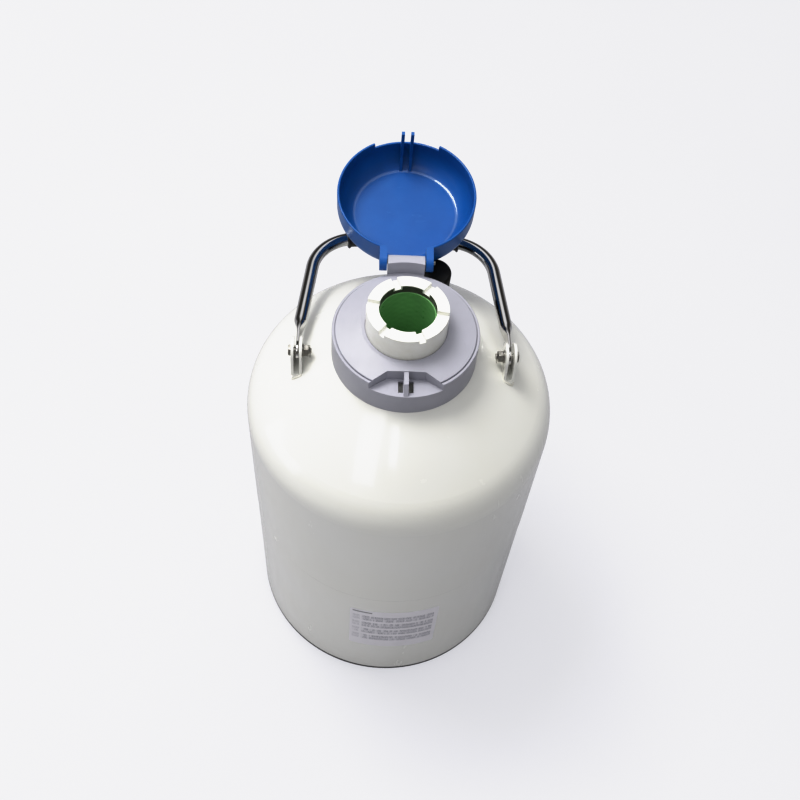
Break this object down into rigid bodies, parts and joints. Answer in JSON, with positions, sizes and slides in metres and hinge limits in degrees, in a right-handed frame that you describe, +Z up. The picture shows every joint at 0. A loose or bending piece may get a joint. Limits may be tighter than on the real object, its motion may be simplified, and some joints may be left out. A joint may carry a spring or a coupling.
{
  "type": "liquid nitrogen dewar",
  "caption": "Portable liquid nitrogen storage dewar: white vacuum vessel, narrow 50 mm neck, hinged cap standing open, swinging carrying bail.",
  "frame": {"origin": "on the floor, at the centre of the foot ring, on the axis of the neck", "axes": "+Z up along the neck axis; -Y towards the latch notch in the collar; +Y towards the lid hinge; X along the pins of the lid and the carrying bail"},
  "size_m": [0.303, 0.368, 0.5247],
  "materials": {
    "shell_paint": "glossy warm-white enamel",
    "foot_rubber": "dark grey moulded rubber",
    "vessel_aluminium": "satin spun aluminium",
    "wrap_layers": "foil and paper layers, evacuated",
    "adsorbent_cloth": "woven cloth pouch of adsorbent",
    "neck_composite": "green glass-fibre laminate",
    "flange_aluminium": "dark, dulled aluminium",
    "ring_plastic": "white moulded plastic",
    "collar_plastic": "pale lavender-grey moulded plastic",
    "lid_plastic": "semi-gloss blue moulded plastic",
    "pin_steel": "bright drawn steel",
    "bail_chrome": "chromium plated steel rod",
    "grip_plastic": "black moulded plastic",
    "bracket_paint": "warm-white enamel over steel strap",
    "fastener_steel": "zinc-plated steel",
    "cap_rubber": "soft black rubber",
    "label_paper": "pale laminated paper"
  },
  "bodies": {
    "vessel": {"foot_ring": "foot_rubber", "base_plate": "shell_paint", "outer_shell_lower": "shell_paint", "outer_shell_upper": "shell_paint", "inner_vessel_lower": "vessel_aluminium", "inner_vessel_upper": "vessel_aluminium", "insulation_wrap": "wrap_layers", "adsorbent_pack": "adsorbent_cloth", "canister_spider": "vessel_aluminium", "neck_tube": "neck_composite", "neck_flange": "flange_aluminium", "canister_ring": "ring_plastic", "collar": "collar_plastic", "hinge_pin": "pin_steel", "handle_bracket_left": "bracket_paint", "handle_bracket_right": "bracket_paint", "bracket_bolts": "fastener_steel", "bracket_washers": "fastener_steel", "bracket_nuts": "fastener_steel", "cotter_pins": "fastener_steel", "vacuum_port": "flange_aluminium", "vacuum_plug": "pin_steel", "vacuum_cap": "cap_rubber", "label": "label_paper"},
    "lid": {"lid": "lid_plastic"},
    "handle": {"handle_bail": "bail_chrome", "handle_grip": "grip_plastic"}
  },
  "joints": [
    {"name": "lid_hinge", "type": "hinge", "parent": "vessel", "child": "lid", "pos_m": [0, 0.0743, 0.482], "axis": [1, 0, 0], "range_deg": [0, 172]},
    {"name": "handle_swing", "type": "hinge", "parent": "vessel", "child": "handle", "pos_m": [0, 0, 0.4375], "axis": [1, 0, 0], "range_deg": [-14, 6]}
  ]
}
